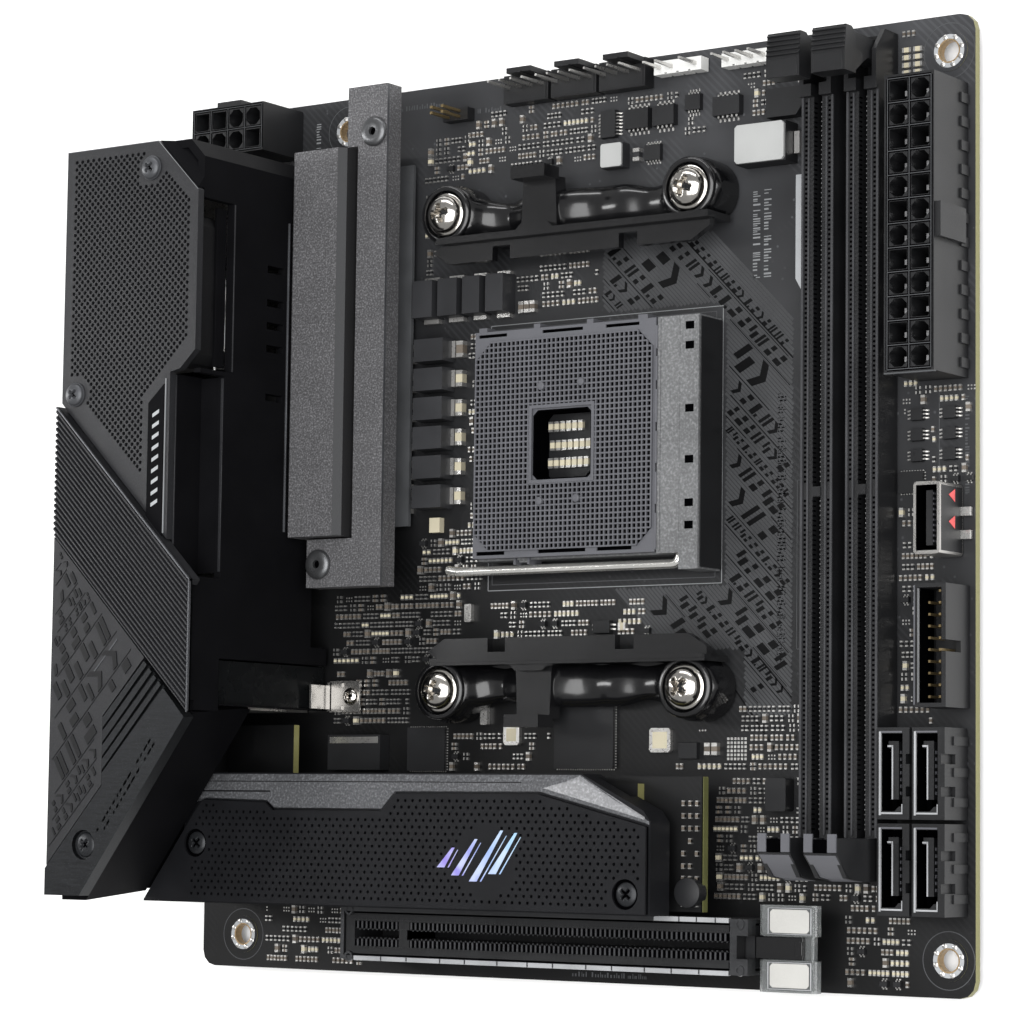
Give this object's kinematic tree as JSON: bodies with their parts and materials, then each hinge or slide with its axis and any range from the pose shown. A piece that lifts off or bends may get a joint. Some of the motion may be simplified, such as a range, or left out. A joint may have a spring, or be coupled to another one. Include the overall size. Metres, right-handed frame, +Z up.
{
  "type": "mini-itx motherboard",
  "caption": "Small square computer motherboard with a pin-grid processor socket, memory slots, finned rear cover with a fan, drive heatsink and an expansion slot.",
  "frame": {"origin": "centre of the base of the bounding box: under the board, level with the backplate's underside", "axes": "+Z up out of the board's component side, +X from the rear ports to the front edge, +Y from the expansion slot to the power stage"},
  "size_m": [0.1776, 0.1702, 0.0478],
  "materials": {
    "board_mask": "satin black solder mask on glass-epoxy laminate",
    "connector_plastic": "satin black moulded plastic",
    "bracket_plastic": "gloss black moulded plastic",
    "socket_plastic": "mid-grey moulded plastic",
    "header_white": "off-white moulded plastic",
    "cover_paint": "dark grey coated, fine grain",
    "bar_metal": "brushed gunmetal",
    "heatsink_aluminium": "blasted and anodised dark grey",
    "steel": "bare steel sheet",
    "port_shell": "tinned sheet shell over a plastic core",
    "screw_steel": "nickel-plated steel",
    "smoky_film": "smoky translucent film"
  },
  "bodies": {
    "board": {"pcb": "board_mask", "drive_board": "board_mask", "board_power_header": "connector_plastic", "processor_power_header": "connector_plastic", "memory_slot_a": "connector_plastic", "memory_slot_b": "connector_plastic", "expansion_slot": "connector_plastic", "drive_port_1": "connector_plastic", "drive_port_2": "connector_plastic", "drive_port_3": "connector_plastic", "drive_port_4": "connector_plastic", "shrouded_header": "connector_plastic", "fan_header_1": "connector_plastic", "fan_header_2": "connector_plastic", "fan_header_3": "connector_plastic", "fan_frame": "connector_plastic", "audio_jacks": "connector_plastic", "push_button_housing": "connector_plastic", "cooler_bracket_upper": "bracket_plastic", "cooler_bracket_lower": "bracket_plastic", "socket_base": "socket_plastic", "light_header_1": "header_white", "light_header_2": "header_white", "cover_side_wall": "cover_paint", "cover_mesh_panel": "cover_paint", "cover_ribbed_band": "cover_paint", "cover_lower_plate": "cover_paint", "rear_plate": "cover_paint", "drive_heatsink_cover": "cover_paint", "cover_bar": "bar_metal", "power_heatsink_block": "heatsink_aluminium", "power_heatsink_bar": "heatsink_aluminium", "drive_heatsink": "heatsink_aluminium", "backplate": "steel", "expansion_slot_shield": "steel", "front_panel_port": "port_shell", "video_ports": "port_shell", "usb_stack": "port_shell", "usb_c_stack": "port_shell", "network_stack": "port_shell", "wireless_module": "port_shell", "cooler_screw_1": "screw_steel", "cooler_screw_2": "screw_steel", "cooler_screw_3": "screw_steel", "cooler_screw_4": "screw_steel", "heatsink_screw_1": "screw_steel", "heatsink_screw_2": "screw_steel", "cover_screw_1": "screw_steel", "cover_screw_2": "screw_steel", "cover_screw_3": "screw_steel", "drive_screw_1": "screw_steel", "drive_screw_2": "screw_steel", "wireless_film": "smoky_film"},
    "socket_lever": {"socket_lever": "screw_steel"},
    "socket_cover": {"socket_cover": "socket_plastic"},
    "memory_latch_a": {"memory_latch_a": "connector_plastic"},
    "memory_latch_b": {"memory_latch_b": "connector_plastic"},
    "expansion_slot_latch": {"expansion_slot_latch": "connector_plastic"},
    "fan_rotor": {"fan_rotor": "connector_plastic"},
    "push_button": {"push_button": "header_white"}
  },
  "joints": [
    {"name": "socket_lever_hinge", "type": "hinge", "parent": "board", "child": "socket_lever", "pos_m": [0.03186, 0.01091, 0.008], "axis": [0, 1, 0], "range_deg": [0, 90]},
    {"name": "socket_cover_slide", "type": "slide", "parent": "board", "child": "socket_cover", "axis": [1, 0, 0], "range_m": [-0.0009, 0]},
    {"name": "memory_latch_a_hinge", "type": "hinge", "parent": "board", "child": "memory_latch_a", "pos_m": [0.06156, 0.07891, 0.0073], "axis": [-1, 0, 0], "range_deg": [0, 25]},
    {"name": "memory_latch_b_hinge", "type": "hinge", "parent": "board", "child": "memory_latch_b", "pos_m": [0.07056, 0.07891, 0.0073], "axis": [-1, 0, 0], "range_deg": [0, 25]},
    {"name": "expansion_slot_latch_hinge", "type": "hinge", "parent": "board", "child": "expansion_slot_latch", "pos_m": [0.05306, -0.07729, 0.0071], "axis": [0, 1, 0], "range_deg": [0, 14]},
    {"name": "fan_rotor_spin", "type": "hinge", "parent": "board", "child": "fan_rotor", "pos_m": [-0.06774, 0.04241, 0.0413], "axis": [0, 0, 1], "continuous": true},
    {"name": "push_button_press", "type": "slide", "parent": "board", "child": "push_button", "axis": [1, 0, 0], "range_m": [0, 0.0006], "stiffness_N_per_m": 1500}
  ],
  "couplings": [
    {"joint": "socket_cover_slide", "follows": "socket_lever_hinge", "m_per_rad": -0.00057}
  ]
}
